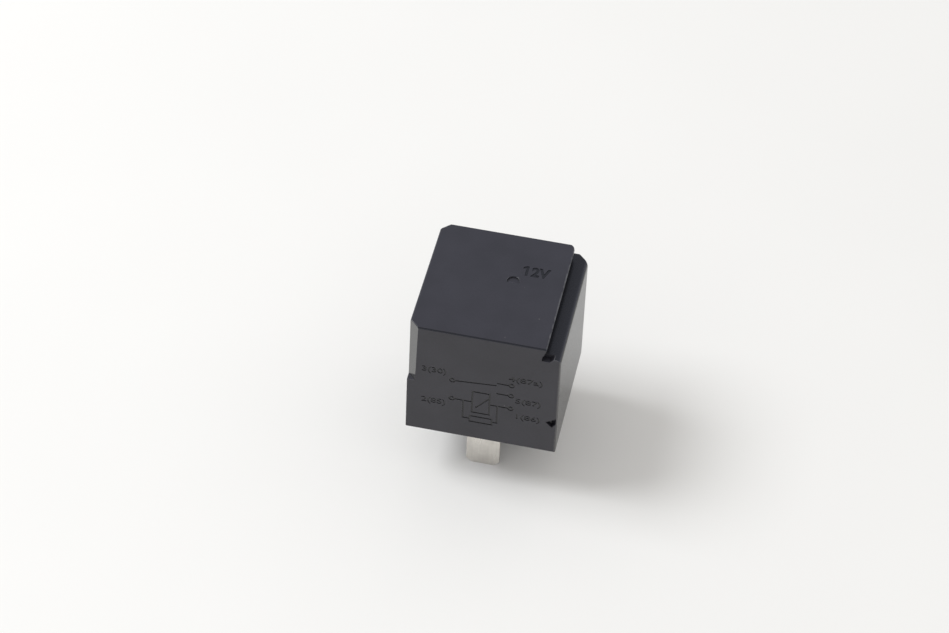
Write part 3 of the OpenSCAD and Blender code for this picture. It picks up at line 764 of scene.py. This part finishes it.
@dataclass
class Marks:
    """Strokes, rings and figures for one flat face, drawn flat in millimetres with X across and Y up."""

    relief: Relief
    height: float = 0.09
    width: float = 0.32
    weight: float = 0.014
    curve_steps: int = 3
    ring_steps: int = 24
    # how far the solid reaches past the face on its open side
    spare: float = 0.25
    # outlines of less area are left out, and corners nearer than the gap are one
    sliver: float = 1e-5
    gap: float = 1e-5
    bm: BMesh = field(default_factory=bmesh.new)

    def shape(self, corners: Sequence[Place | Vector]) -> None:
        """Draws a filled outline."""
        self.bm.faces.new([self.bm.verts.new((*corner, 0.0)) for corner in corners])

    def stroke(self, start: Place, end: Place) -> None:
        """Draws a straight stroke with square ends.

        Args:
            start: the middle of its first end.
            end: the middle of its other end.
        """
        a, b = Vector(start), Vector(end)
        along = (b - a).normalized() * self.width / 2
        across = Vector((-along.y, along.x))
        self.shape([a - along - across, b + along - across, b + along + across, a - along + across])

    def outline(self, low: Place, high: Place) -> None:
        """Draws the four sides of a rectangle.

        Args:
            low: its lower left corner.
            high: its upper right corner.
        """
        for start, end in around([low, (high[0], low[1]), high, (low[0], high[1])]):
            self.stroke(start, end)

    def ring(self, middle: Place, radius: float) -> None:
        """Draws a circle.

        Args:
            middle: its middle.
            radius: the radius of the middle of its line.
        """
        half = self.width / 2
        verts = [self.bm.verts.new((middle[0] + radius + side, middle[1], 0.0)) for side in (-half, half)]
        bmesh.ops.spin(
            self.bm, geom=[*verts, self.bm.edges.new(verts)], cent=(*middle, 0.0), axis=UPWARD,
            angle=math.tau, steps=self.ring_steps, use_merge=True,
        )

    def figures(self, text: str, low: Place, high: Place) -> None:
        """Draws upright figures.

        Args:
            text: the figures.
            low: the lower left corner of the rectangle that they fill.
            high: its upper right corner.
        """
        curve = bpy.data.curves.new("figures", "FONT")
        curve.body = text
        curve.offset = self.weight
        curve.resolution_u = self.curve_steps
        curve.fill_mode = "FRONT"
        data = made_mesh(placed("figures", curve))
        xs, ys, _ = zip(*(vert.co for vert in data.vertices))
        size = ((high[0] - low[0]) / (max(xs) - min(xs)), (high[1] - low[1]) / (max(ys) - min(ys)), 1.0, 1.0)
        cornered = Matrix.Translation((-min(xs), -min(ys), 0.0))
        data.transform(Matrix.Translation((*low, 0.0)) @ Matrix.Diagonal(size) @ cornered)
        self.bm.from_mesh(data)

    def fused(self) -> BMesh:
        """Joins everything drawn into one closed solid.

        Returns:
            The solid, which reaches past the face on its open side.
        """
        self.bm.normal_update()
        for face in self.bm.faces:
            if face.normal.z < 0:
                face.normal_flip()
        self.bm.verts.index_update()
        whole = (face for face in self.bm.faces if face.calc_area() > self.sliver)
        drawn = [[vert.index for vert in face.verts] for face in whole]
        places = [vert.co.to_2d() for vert in self.bm.verts]
        # every triangle comes back with the outlines that it lies in, and those in none are left out
        corners, _, faces, _, _, sources = delaunay_2d_cdt(places, [], drawn, 0, self.gap)
        engraved = self.relief is Relief.ENGRAVED
        low, high = (-self.height, self.spare) if engraved else (-self.spare, self.height)
        solid = bmesh.new()
        verts = [solid.verts.new((*corner, low)) for corner in corners]
        bottom = [solid.faces.new([verts[i] for i in face]) for face, source in zip(faces, sources) if source]
        bmesh.ops.delete(solid, geom=[vert for vert in verts if not vert.link_faces], context="VERTS")
        risen = bmesh.ops.extrude_face_region(solid, geom=bottom)["geom"]
        lifted = [item for item in risen if isinstance(item, BMVert)]
        bmesh.ops.translate(solid, vec=UPWARD * (high - low), verts=lifted)
        bmesh.ops.recalc_face_normals(solid, faces=solid.faces)
        return solid

    def press(self, work: Workpiece, seat: Matrix, finish: Finish) -> None:
        """Cuts the marks into a workpiece, or raises them on it.

        Args:
            work: the workpiece.
            seat: the frame of its face.
            finish: the one of its finishes that the new faces have.
        """
        solid = self.fused()
        bmesh.ops.transform(solid, matrix=seat @ Matrix.Scale(MM, 4), verts=solid.verts)
        for face in solid.faces:
            face.material_index = work.finishes.index(finish)
        blank, tool = (
            placed("pressed", finished_mesh("pressed", bm, work.finishes)) for bm in (work.bm, solid)
        )
        cut = blank.modifiers.new("press", "BOOLEAN")
        cut.operation = self.relief.value
        cut.object = tool
        cut.solver = "EXACT"
        cut.use_self = True
        cut.material_mode = "INDEX"
        work.bm.clear()
        work.bm.from_mesh(made_mesh(blank))
        bpy.data.objects.remove(tool)
        solid.free()
        self.bm.free()


# ---- sub-assemblies ----


@dataclass(frozen=True)
class PlainPiece:
    """A piece that has its CAD node's shape, with softened edges and one finish."""

    node: str
    name: str
    finish: Finish
    slot: Slot

    def build(self, body: Body, softening: float = 0.0) -> None:
        """Builds the piece.

        Args:
            body: the body that it moves with.
            softening: the width of its rounded edges, or 0 where it keeps them as they are.
        """
        work = Workpiece.copy_of(self.node, self.name, self.finish)
        if softening:
            work.soften(softening)
        work.hand_over(body, self.slot)


@dataclass
class Casing:
    """The black case with its rail channel, latch windows and engraved marks."""

    softening: float = 0.09 * MM
    rim_softening: float = 0.05 * MM
    # the rail channel: its inner side as a share of the half width, and drops from the top
    channel_side: float = 0.7
    top_band: float = 0.6 * MM
    channel_drop: float = 2.21 * MM
    notch_drop: float = 3.1 * MM
    notch_length: float = 1.5 * MM
    # parts of the normals that tell upright walls, bevels, the plate's lip and its right edge, which is
    # marked like a rubbed edge to paint a highlight line
    wall_lean: float = 0.3
    bevel_lean: float = 0.1
    bevel_turn: Span = (0.6, 0.8)
    lip_rise: Span = (0.35, 0.93)
    lip_turn: float = 0.3
    highlight_turn: float = 0.25
    # columns and rows of the circuit diagram, from the middle and over the rim, in millimetres
    ring: float = 0.42
    ends: Place = (-5.55, 5.3)
    arm_rows: Place = (14.25, 14.85)
    rest_row: float = 15.45
    work_row: float = 12.83
    coil_row: float = 9.56
    coil: tuple[Place, Place] = ((-1.75, 6.9), (1.42, 12.26))
    slash: tuple[Place, Place] = ((0.75, 1.45), (-0.12, -1.2))
    shunt: tuple[Place, Place] = ((-2.1, 4.4), (2.0, 5.85))
    shunt_taps: Place = (-3.4, 2.9)
    gap: Place = (2.4, 2.78)
    labels: tuple[tuple[str, Place, Place], ...] = (
        ("3(30)", (-11.2, 15.0), (-6.7, 16.7)),
        ("4(87a)", (4.7, 16.2), (10.9, 17.8)),
        ("2(85)", (-11.2, 7.1), (-6.7, 8.8)),
        ("5(87)", (6.1, 10.8), (10.8, 12.4)),
        ("1(86)", (6.4, 6.8), (10.8, 8.4)),
    )
    # the voltage on the top, its first figure an outline and the others type
    rating_weight: float = 0.045
    one: tuple[Place, ...] = (
        (3.6, 3.65), (4.08, 3.65), (4.08, 6.15), (3.66, 6.15), (3.05, 5.8), (3.05, 5.36), (3.6, 5.6),
    )
    two_volt: tuple[str, Place, Place] = ("2V", (4.65, 3.6), (8.1, 6.15))

    def build(self) -> None:
        """Builds the case."""
        low, high = span_of("cover")
        work = Workpiece.copy_of("cover", "case", TEXTURED, DRAWN, POLISHED_SHADE, BEVELLED_LIT)
        work.soften(self.softening)
        work.soften(self.rim_softening)
        self.polish(work, low, high)
        front = work.seat(FORWARD, UPWARD, Vector((0, low.y, low.z)))
        # the engraved marks take the darker polished black, which paints shade in their recesses
        self.diagram().press(work, front, POLISHED_SHADE)
        top = work.seat(UPWARD, BACKWARD, Vector((0, 0, high.z)))
        self.rating().press(work, top, POLISHED_SHADE)
        work.hand_over(Body.HOUSING, Slot.CASE)

    def polish(self, work: Workpiece, low: Vector, high: Vector) -> None:
        """Chooses the smoother faces, paints shade in a darker black on the rail channel and the plate's
        front lip, and paints a highlight on the plate's right edge.

        Args:
            work: the case.
            low: the lowest corner of its box.
            high: the highest corner of its box.
        """
        side, front = self.channel_side * high.x, low.y + self.notch_length
        top, floor, foot = (high.z - drop for drop in (self.top_band, self.channel_drop, self.notch_drop))
        # walls drawn along the tool, and the bevelled corners between them in a slightly lighter black, part
        # of their highlight painted
        work.paint(DRAWN, lambda at, normal: abs(normal.z) < self.wall_lean and normal.y > -FACING)
        work.paint(BEVELLED_LIT, lambda at, normal: (
            abs(normal.z) < self.bevel_lean and within(abs(normal.x), self.bevel_turn)
        ))
        # channel and the plate's front lip in the darker black, painted shade in the channel and a painted
        # dark line on the lip; the notch at the channel's front end keeps the textured black
        work.paint(POLISHED_SHADE, lambda at, normal: at.x > side and foot < at.z < top)
        work.paint(TEXTURED, lambda at, normal: at.x > side and at.y < front and foot < at.z < floor)
        work.paint(POLISHED_SHADE, lambda at, normal: (
            within(normal.z, self.lip_rise) and normal.y < -self.lip_turn and at.z > top
        ))
        # the plate's right edge is marked as rubbed, which paints a lighter highlight line along it
        rubbed = work.edge_layer()
        for face in work.bm.faces:
            if min(face.normal.x, face.normal.z) > self.highlight_turn and face.calc_center_median().z > top:
                face[rubbed] = 1.0

    def diagram(self) -> Marks:
        """Draws the circuit diagram with the numbers of its terminals.

        Returns:
            The marks, from the middle of the front and over the rim.
        """
        marks = Marks(Relief.ENGRAVED)
        left, right = self.ends
        for end, row in ((left, self.arm_rows[0]), (right, self.rest_row), (right, self.work_row),
                         (left, self.coil_row), (right, self.coil_row)):
            marks.ring((end, row), self.ring)
        marks.stroke((left + self.ring, self.arm_rows[0]), (self.gap[0], self.arm_rows[1]))
        for row in (self.rest_row, self.work_row):
            marks.stroke((self.gap[1], row), (right - self.ring, row))
        marks.outline(*self.coil)
        marks.stroke(*(tuple(map(sum, zip(*pair))) for pair in zip(self.coil, self.slash)))
        marks.outline(*self.shunt)
        (shunt_left, shunt_low), (shunt_right, shunt_high) = self.shunt
        middle = (shunt_low + shunt_high) / 2
        for tap, end, coil_side, shunt_side in (
            (self.shunt_taps[0], left + self.ring, self.coil[0][0], shunt_left),
            (self.shunt_taps[1], right - self.ring, self.coil[1][0], shunt_right),
        ):
            marks.stroke((end, self.coil_row), (coil_side, self.coil_row))
            marks.stroke((tap, self.coil_row), (tap, middle))
            marks.stroke((tap, middle), (shunt_side, middle))
        for label in self.labels:
            marks.figures(*label)
        return marks

    def rating(self) -> Marks:
        """Draws the voltage.

        Returns:
            The marks, from the middle of the top.
        """
        marks = Marks(Relief.ENGRAVED, weight=self.rating_weight)
        marks.shape(self.one)
        marks.figures(*self.two_volt)
        return marks


@dataclass
class BasePlate:
    """The base with its pockets, latch posts and raised terminal numbers on the underside."""

    softening: float = 0.08 * MM
    # height and weight of the figures, and the room that each takes, in millimetres
    relief: float = 0.15
    weight: float = 0.03
    figure: Place = (0.95, 1.5)
    # number of a terminal, with the middle of its place on the underside, in millimetres
    numbers: tuple[tuple[str, Place], ...] = (
        ("87", (0.0, -7.3)), ("87a", (0.0, -4.1)),
        ("85", (5.3, 1.0)), ("86", (-5.3, 1.0)), ("30", (0.0, 1.5)),
    )

    def build(self) -> None:
        """Builds the base."""
        low, _ = span_of("base")
        work = Workpiece.copy_of("base", "base_plate", BASE_BLACK)
        work.soften(self.softening)
        marks = Marks(Relief.RAISED, height=self.relief, weight=self.weight)
        wide, tall = self.figure
        for text, (x, y) in self.numbers:
            half = len(text) * wide / 2
            marks.figures(text, (x - half, -y - tall / 2), (x + half, -y + tall / 2))
        marks.press(work, work.seat(DOWNWARD, FORWARD, Vector((0, 0, low.z))), BASE_BLACK)
        work.hand_over(Body.HOUSING, Slot.BASE)


@dataclass
class Terminals:
    """The five blades, stamped and bent from tin-plated sheet."""

    softening: float = 0.07 * MM
    numbers: tuple[str, ...] = ("30", "85", "86", "87", "87a")

    def build(self) -> None:
        """Builds the blades."""
        for number in self.numbers:
            piece = PlainPiece(f"terminal_{number}", f"blade_{number}", TIN, Slot.TIN)
            piece.build(Body.HOUSING, self.softening)


@dataclass
class Magnet:
    """Yoke, core and former of the coil, and the rivets that hold the leaf to the yoke."""

    softening: float = 0.1 * MM
    pieces: tuple[PlainPiece, ...] = (
        PlainPiece("yoke", "magnet_yoke", ZINC, Slot.STEEL),
        PlainPiece("core", "magnet_core", POLE, Slot.STEEL),
        PlainPiece("bobbin", "coil_former", NYLON, Slot.BOBBIN),
        PlainPiece("yoke_rivets", "leaf_rivets", ZINC, Slot.STEEL),
    )

    def build(self) -> None:
        """Builds the magnet."""
        for piece in self.pieces:
            piece.build(Body.HOUSING, self.softening)


@dataclass
class Winding:
    """The coil's buried layers as one ring, with the outer layer of wire and its two ends."""

    wire: float = 0.3 * MM
    wire_sides: int = 8
    wire_sharp: float = 50.0
    tube: float = 3.9 * MM
    fork_depth: float = 1.6 * MM
    steps: int = 64
    box: tuple[Vector, Vector] = field(default_factory=lambda: span_of("coil_winding"))

    @property
    def axis(self) -> Vector:
        """Returns a point on the coil's axis."""
        return Vector((0.0, (self.box[0].y + self.box[1].y) / 2, 0.0))

    @property
    def outer(self) -> float:
        """Returns the coil's outer radius."""
        return (self.box[1].y - self.box[0].y) / 2

    def build(self) -> None:
        """Builds the winding."""
        work = Workpiece("coil_turns", "coil_winding", [COPPER])
        self.add_body(work.bm)
        self.add_layer(work.bm)
        self.add_ends(work.bm)
        bmesh.ops.recalc_face_normals(work.bm, faces=work.bm.faces)
        work.hand_over(Body.HOUSING, Slot.COPPER, self.wire_sharp)

    def add_body(self, bm: BMesh) -> None:
        """Turns the buried layers as one ring on the former's tube.

        Args:
            bm: the winding.
        """
        low, high, radius = self.box[0].z, self.box[1].z, self.outer - self.wire / 2
        corners = ((self.tube, low), (radius, low), (radius, high), (self.tube, high))
        verts = [bm.verts.new(self.axis + Vector((out, 0, z))) for out, z in corners]
        edges = [bm.edges.new(pair) for pair in around(verts)]
        bmesh.ops.spin(
            bm, geom=verts + edges, cent=self.axis, axis=UPWARD,
            angle=math.tau, steps=self.steps, use_merge=True,
        )

    def add_layer(self, bm: BMesh) -> None:
        """Winds one wire from the lower flange up to the upper one.

        Args:
            bm: the winding.
        """
        low, high, radius = self.box[0].z, self.box[1].z, self.outer - self.wire / 2
        turns = math.floor((high - low) / self.wire) - 1
        pitch = (high - low - self.wire) / turns
        start = self.axis + Vector((radius, 0, low + self.wire / 2))
        turn = bmesh.new()
        ring = bmesh.ops.create_circle(
            turn, cap_ends=False, segments=self.wire_sides, radius=self.wire / 2,
            matrix=Matrix.Translation(start) @ Matrix.Rotation(QUARTER_TURN, 4, "X"),
        )["verts"]
        bmesh.ops.spin(
            turn, geom=[*ring, *turn.edges], cent=self.axis, axis=UPWARD, dvec=(0, 0, pitch / self.steps),
            angle=math.tau, steps=self.steps, use_merge=False,
        )
        data = finished_mesh("turn", turn, ())
        turn.free()
        for _ in range(turns):
            bm.from_mesh(data)
            data.transform(Matrix.Translation((0, 0, pitch)))
        bpy.data.meshes.remove(data)
        bmesh.ops.remove_doubles(bm, verts=bm.verts, dist=MERGE_GAP)
        bmesh.ops.holes_fill(bm, edges=[edge for edge in bm.edges if edge.is_boundary])

    def add_ends(self, bm: BMesh) -> None:
        """Lays the wire's two ends into the forks of the coil blades.

        Args:
            bm: the winding.
        """
        blade_low, blade_high = span_of("terminal_85")
        y = (blade_low.y + blade_high.y) / 2
        z = blade_high.z - self.fork_depth + self.wire / 2
        inner, reach = self.outer - self.wire, self.box[1].x
        for side in (-1, 1):
            middle = Matrix.Translation((side * (inner + reach) / 2, y, z))
            bmesh.ops.create_cone(
                bm, cap_ends=True, segments=2 * self.wire_sides, radius1=self.wire / 2, radius2=self.wire / 2,
                depth=reach - inner, matrix=middle @ Matrix.Rotation(QUARTER_TURN, 4, "Y"),
            )


@dataclass
class Resistor:
    """The resistor across the coil, with its colour bands and leads."""

    # places of the bands along half of the body, with their colours
    bands: tuple[tuple[float, Colour], ...] = (
        (-0.66, (0.03, 0.07, 0.4)), (-0.34, (0.2, 0.2, 0.21)),
        (-0.06, (0.12, 0.05, 0.02)), (0.62, (0.5, 0.35, 0.1)),
    )

    def build(self) -> None:
        """Builds the body and its two leads."""
        low, high = span_of("resistor_body")
        middle, half = (low.x + high.x) / 2, (high.x - low.x) / 2
        places = tuple((place * half, colour) for place, colour in self.bands)
        lacquer = replace(LACQUER, bands=places, centre=middle)
        for piece in (
            PlainPiece("resistor_body", "coil_resistor", lacquer, Slot.LACQUER),
            PlainPiece("resistor_lead_85", "resistor_wire_85", TINNED_WIRE, Slot.LEAD),
            PlainPiece("resistor_lead_86", "resistor_wire_86", TINNED_WIRE, Slot.LEAD),
        ):
            piece.build(Body.HOUSING)


@dataclass
class Contacts:
    """The two fixed contacts on the arms of their blades."""

    softening: float = 0.06 * MM

    def build(self) -> None:
        """Builds the contacts."""
        for state in ("work", "rest"):
            piece = PlainPiece(f"{state}_contact", f"{state}_button", SILVER, Slot.SILVER)
            piece.build(Body.HOUSING, self.softening)


@dataclass
class Clapper:
    """The armature with its rivets and moving contact, and the leaf that hinges it."""

    softening: float = 0.1 * MM
    pieces: tuple[PlainPiece, ...] = (
        PlainPiece("armature", "clapper_plate", ZINC, Slot.STEEL),
        PlainPiece("armature_rivets", "clapper_rivets", ZINC, Slot.STEEL),
        PlainPiece("moving_contact", "moving_button", SILVER, Slot.SILVER),
    )
    # the leaf bends from just over its upper rivet to just past the hinge edge
    bend_low: Vector = field(default_factory=lambda: Vector((0.0, 9.6, 26.9)) * MM)
    bend_high: Vector = field(default_factory=lambda: Vector((0.0, 8.4, 31.9)) * MM)
    bend_steps: int = 14
    cut_gap: float = 1e-7

    def build(self) -> None:
        """Builds the moving pieces and the leaf."""
        for piece in self.pieces:
            piece.build(Body.ARMATURE, self.softening)
        self.add_leaf()

    def add_leaf(self) -> None:
        """Builds the leaf with enough rows across its bend to follow the armature."""
        work = Workpiece.copy_of("contact_spring", "contact_leaf", BRONZE)
        along = self.bend_high - self.bend_low
        for step in range(self.bend_steps + 1):
            bmesh.ops.bisect_plane(
                work.bm, geom=[*work.bm.verts, *work.bm.edges, *work.bm.faces], dist=self.cut_gap,
                plane_co=self.bend_low + along * step / self.bend_steps, plane_no=along,
            )
        leaf = work.hand_over(None, Slot.BRONZE)
        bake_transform(leaf, Body.HOUSING.value, Body.ARMATURE.value, start=self.bend_low, end=self.bend_high)


# ---- studio ----


@dataclass
class Studio:
    """A pale floor under soft light from the left, and the camera."""

    # the camera: where it aims, how far off it stands, its angles in degrees and its lens in millimetres
    aim: Vector = field(default_factory=lambda: Vector((-4.58, 0.0, 28.1)) * MM)
    distance: float = 493.4 * MM
    azimuth: float = 10.44
    elevation: float = 45.06
    roll: float = 2.505
    lens: float = 102.565
    sensor: float = 36.0
    clip: Span = (0.01, 20.0)
    floor_size: float = 3.0
    floor_colour: Colour = (0.876, 0.876, 0.871)
    floor_low_tone: float = 0.985
    floor_mottle: float = 60 * MM
    # the lamp: where it hangs, in metres, its width, power and tint
    key_place: Vector = field(default_factory=lambda: Vector((-0.78, -0.08, 0.98)))
    key_size: float = 0.64
    key_energy: float = 8.8
    key_tint: Colour = (0.97, 0.985, 1.0)
    # the light from all round, as matt faces and as glossy ones take it, and its fall towards the top
    fill: Colour = (0.685, 0.672, 0.653)
    sheen: Colour = (0.93, 0.97, 1.15)
    rise_span: Span = (0.15, 0.7)
    rise_light: Span = (0.95, 0.5)
    backdrop: Colour = (0.9, 0.9, 0.9)

    def build(self) -> None:
        """Sets up the camera, the floor, the lamp and the world."""
        bpy.context.scene.view_settings.view_transform = "Standard"
        self.add_camera()
        self.add_floor()
        self.add_key()
        self.add_world()

    def add_camera(self) -> None:
        """Places the camera on a sphere about its aim, rolled a little."""
        data = bpy.data.cameras.new("camera")
        data.sensor_width = self.sensor
        data.lens = self.lens
        data.clip_start, data.clip_end = self.clip
        camera = placed("camera", data)
        turned = Matrix.Rotation(math.radians(self.azimuth), 4, "Z")
        raised = Matrix.Rotation(QUARTER_TURN - math.radians(self.elevation), 4, "X")
        rolled = Matrix.Rotation(math.radians(self.roll), 4, "Z")
        back = Matrix.Translation((0, 0, self.distance))
        camera.matrix_world = Matrix.Translation(self.aim) @ turned @ raised @ back @ rolled
        bpy.context.scene.camera = camera

    def add_floor(self) -> None:
        """Lays the floor under the blade tips."""
        surface = Surface("floor_pale", "BsdfDiffuse")
        tone = surface.effect(Effect.MOTTLE, self.floor_mottle)["Tone"]
        darker = shade(self.floor_colour, self.floor_low_tone)
        surface.give("Color", surface.blend(surface.between(tone, TONES), darker, self.floor_colour))
        bm = bmesh.new()
        bmesh.ops.create_grid(bm, x_segments=1, y_segments=1, size=self.floor_size)
        data = finished_mesh("floor", bm, ())
        bm.free()
        data.materials.append(surface.material)
        placed("floor", data)

    def add_key(self) -> None:
        """Hangs a wide lamp high on the left."""
        data = bpy.data.lights.new("key", "AREA")
        data.shape = "DISK"
        data.size = self.key_size
        data.energy = self.key_energy
        data.color = self.key_tint
        key = placed("key", data)
        key.location = self.key_place
        key.rotation_mode = "QUATERNION"
        key.rotation_quaternion = self.key_place.to_track_quat("Z", "Y")

    def add_world(self) -> None:
        """Surrounds the scene with pale light, dimmer overhead and behind the camera where gloss sees it."""
        world = bpy.data.worlds.new("studio")
        world.use_nodes = True
        bpy.context.scene.world = world
        graph = Graph(world.node_tree)
        toward = graph.node("TexCoord").outputs["Generated"]
        rise = graph.node("SeparateXYZ", {0: toward}).outputs[2]
        path = graph.node("LightPath").outputs
        seen = graph.math("ADD", path["Is Camera Ray"], path["Is Transmission Ray"], clamp=True)
        overhead = graph.between(rise, self.rise_span, self.rise_light)
        colour = graph.blend(path["Is Glossy Ray"], self.fill, self.sheen)
        dimmed = graph.times(path["Is Glossy Ray"], graph.math("SUBTRACT", overhead, 1.0))
        light = graph.node("Background", {"Color": colour, "Strength": graph.math("ADD", dimmed, 1.0)})
        backdrop = graph.node("Background", {"Color": rgba(self.backdrop), "Strength": 1.0})
        mixed = graph.node("MixShader", {0: seen, 1: light.outputs[0], 2: backdrop.outputs[0]})
        graph.node("OutputWorld", {"Surface": mixed.outputs[0]})


def main() -> None:
    """Builds the studio, then each sub-assembly in turn."""
    logging.basicConfig(level=logging.INFO, format="%(message)s")
    Studio().build()
    assemblies = (
        Casing(), BasePlate(), Terminals(), Magnet(), Winding(), Resistor(), Contacts(), Clapper()
    )
    for assembly in assemblies:
        log.info("%s", type(assembly).__name__)
        assembly.build()


if __name__ == "__main__":
    main()
